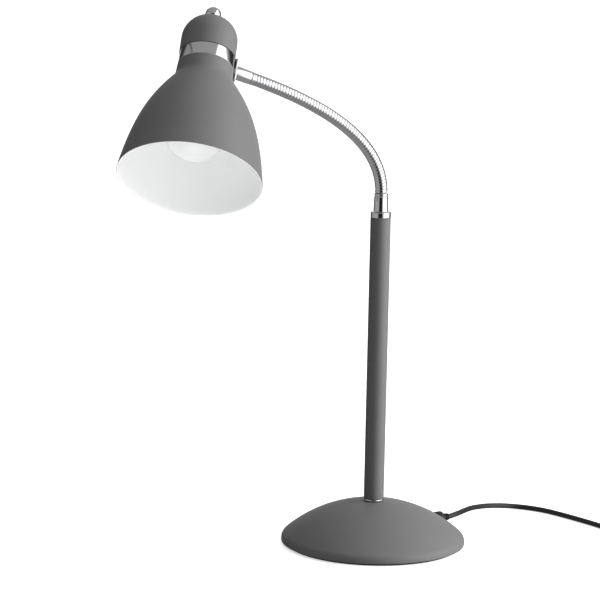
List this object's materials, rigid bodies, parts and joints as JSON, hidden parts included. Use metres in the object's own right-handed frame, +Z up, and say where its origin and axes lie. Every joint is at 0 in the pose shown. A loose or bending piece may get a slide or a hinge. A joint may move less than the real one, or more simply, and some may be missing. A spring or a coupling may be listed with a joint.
{
  "type": "desk lamp",
  "caption": "Grey gooseneck desk lamp: a weighted dome base, a straight post, a bendable chrome neck and a bell shade that swivels, with a black cord, a switch and a plug.",
  "frame": {"origin": "centre of the base's foot on the desk, under the post", "axes": "+Z up, +X to the side the cord leaves from, with the head on the -X side, -Y towards the side the shade opens to"},
  "size_m": [0.5839, 0.3211, 0.4937],
  "materials": {
    "grey_paint": "satin grey paint",
    "chrome": "polished chrome plate",
    "zinc": "zinc-plated steel",
    "iron": "rough casting",
    "foam": "matt foam",
    "black": "matt black",
    "cord": "matt black sheath",
    "brass": "bright brass",
    "ceramic": "glazed white",
    "glass": "opal white glass"
  },
  "bodies": {
    "base": {"base_shell": "grey_paint", "base_plate": "black", "foam_pad": "foam", "base_weight": "iron", "foot_ring": "chrome", "cord_gland": "black", "post": "grey_paint", "foot_tube": "zinc", "foot_washer": "zinc", "foot_nut": "zinc", "post_collar": "chrome", "neck_tube": "zinc", "lower_ferrule": "chrome", "inner_lead": "cord", "cord_lead": "cord", "cord_run": "cord", "cord_coil": "cord", "cord_tie": "black", "cord_tail": "cord", "switch_base": "black", "switch_cover": "black", "plug_body": "black", "plug_pin_1": "chrome", "plug_pin_2": "chrome"},
    "neck_01": {"neck_link_01": "chrome"},
    "neck_02": {"neck_link_02": "chrome"},
    "neck_03": {"neck_link_03": "chrome"},
    "neck_04": {"neck_link_04": "chrome"},
    "neck_05": {"neck_link_05": "chrome"},
    "neck_06": {"neck_link_06": "chrome"},
    "neck_07": {"neck_link_07": "chrome"},
    "neck_08": {"neck_link_08": "chrome"},
    "neck_09": {"neck_link_09": "chrome"},
    "neck_10": {"neck_link_10": "chrome"},
    "neck_11": {"neck_link_11": "chrome"},
    "neck_12": {"neck_link_12": "chrome"},
    "neck_13": {"neck_link_13": "chrome"},
    "neck_14": {"neck_link_14": "chrome"},
    "neck_15": {"neck_link_15": "chrome", "upper_ferrule": "chrome", "swivel_tube": "zinc", "swivel_nut": "zinc"},
    "head": {"shade": "grey_paint", "lamp_cap": "grey_paint", "chrome_band": "chrome", "inner_sleeve": "zinc", "bracket": "chrome", "knob": "chrome", "knob_stud": "zinc", "holder_cover": "black", "holder_body": "black", "contact_block": "ceramic", "screw_shell": "brass", "centre_contact": "brass", "terminal_screw_1": "brass", "terminal_screw_2": "brass", "bulb_globe": "glass", "bulb_cap": "zinc", "head_wire": "cord"},
    "rocker": {"switch_rocker": "black"}
  },
  "joints": [
    {"name": "neck_bend_01", "type": "hinge", "parent": "base", "child": "neck_01", "pos_m": [0, 0, 0.3272], "axis": [0.3289, -0.9444, 0], "range_deg": [-8.21, 4.51]},
    {"name": "neck_side_02", "type": "hinge", "parent": "neck_01", "child": "neck_02", "pos_m": [-0.00058, -0.0002, 0.33578], "axis": [0.9347, 0.3255, 0.1427], "range_deg": [-10, 10]},
    {"name": "neck_bend_03", "type": "hinge", "parent": "neck_02", "child": "neck_03", "pos_m": [-0.00231, -0.00081, 0.34419], "axis": [0.3289, -0.9444, 0], "range_deg": [-12.21, 6.72]},
    {"name": "neck_bend_04", "type": "hinge", "parent": "neck_03", "child": "neck_04", "pos_m": [-0.00515, -0.00179, 0.35225], "axis": [0.3289, -0.9444, 0], "range_deg": [-7.46, 4.1]},
    {"name": "neck_bend_05", "type": "hinge", "parent": "neck_04", "child": "neck_05", "pos_m": [-0.00895, -0.00312, 0.35986], "axis": [0.3289, -0.9444, 0], "range_deg": [-9.42, 5.18]},
    {"name": "neck_side_06", "type": "hinge", "parent": "neck_05", "child": "neck_06", "pos_m": [-0.01355, -0.00472, 0.36695], "axis": [0.7512, 0.2616, 0.606], "range_deg": [-10, 10]},
    {"name": "neck_bend_07", "type": "hinge", "parent": "neck_06", "child": "neck_07", "pos_m": [-0.01879, -0.00654, 0.37354], "axis": [0.3289, -0.9444, 0], "range_deg": [-7.63, 4.2]},
    {"name": "neck_bend_08", "type": "hinge", "parent": "neck_07", "child": "neck_08", "pos_m": [-0.02453, -0.00854, 0.37963], "axis": [0.3289, -0.9444, 0], "range_deg": [-4.06, 2.23]},
    {"name": "neck_bend_09", "type": "hinge", "parent": "neck_08", "child": "neck_09", "pos_m": [-0.03067, -0.01068, 0.38528], "axis": [0.3289, -0.9444, 0], "range_deg": [-4.9, 2.69]},
    {"name": "neck_side_10", "type": "hinge", "parent": "neck_09", "child": "neck_10", "pos_m": [-0.03711, -0.01292, 0.39053], "axis": [0.5565, 0.1938, 0.8079], "range_deg": [-10, 10]},
    {"name": "neck_bend_11", "type": "hinge", "parent": "neck_10", "child": "neck_11", "pos_m": [-0.0438, -0.01525, 0.39543], "axis": [0.3289, -0.9444, 0], "range_deg": [-5.06, 2.78]},
    {"name": "neck_bend_12", "type": "hinge", "parent": "neck_11", "child": "neck_12", "pos_m": [-0.05774, -0.02011, 0.40431], "axis": [0.3289, -0.9444, 0], "range_deg": [-3.81, 2.1]},
    {"name": "neck_bend_13", "type": "hinge", "parent": "neck_12", "child": "neck_13", "pos_m": [-0.07219, -0.02514, 0.41219], "axis": [0.3289, -0.9444, 0], "range_deg": [-4.13, 2.27]},
    {"name": "neck_side_14", "type": "hinge", "parent": "neck_13", "child": "neck_14", "pos_m": [-0.08702, -0.0303, 0.41927], "axis": [0.3706, 0.1291, 0.9198], "range_deg": [-10, 10]},
    {"name": "neck_bend_15", "type": "hinge", "parent": "neck_14", "child": "neck_15", "pos_m": [-0.10211, -0.03556, 0.4257], "axis": [0.3289, -0.9444, 0], "range_deg": [-3.08, 1.69]},
    {"name": "head_swivel", "type": "hinge", "parent": "neck_15", "child": "head", "pos_m": [-0.13482, -0.04695, 0.43803], "axis": [-0.8918, -0.3106, 0.3289], "range_deg": [-57.8, 122.2]},
    {"name": "switch_rock", "type": "hinge", "parent": "base", "child": "rocker", "pos_m": [0.24369, -0.01584, 0.0104], "axis": [-0.9903, -0.1392, 0], "range_deg": [0, 14]}
  ]
}
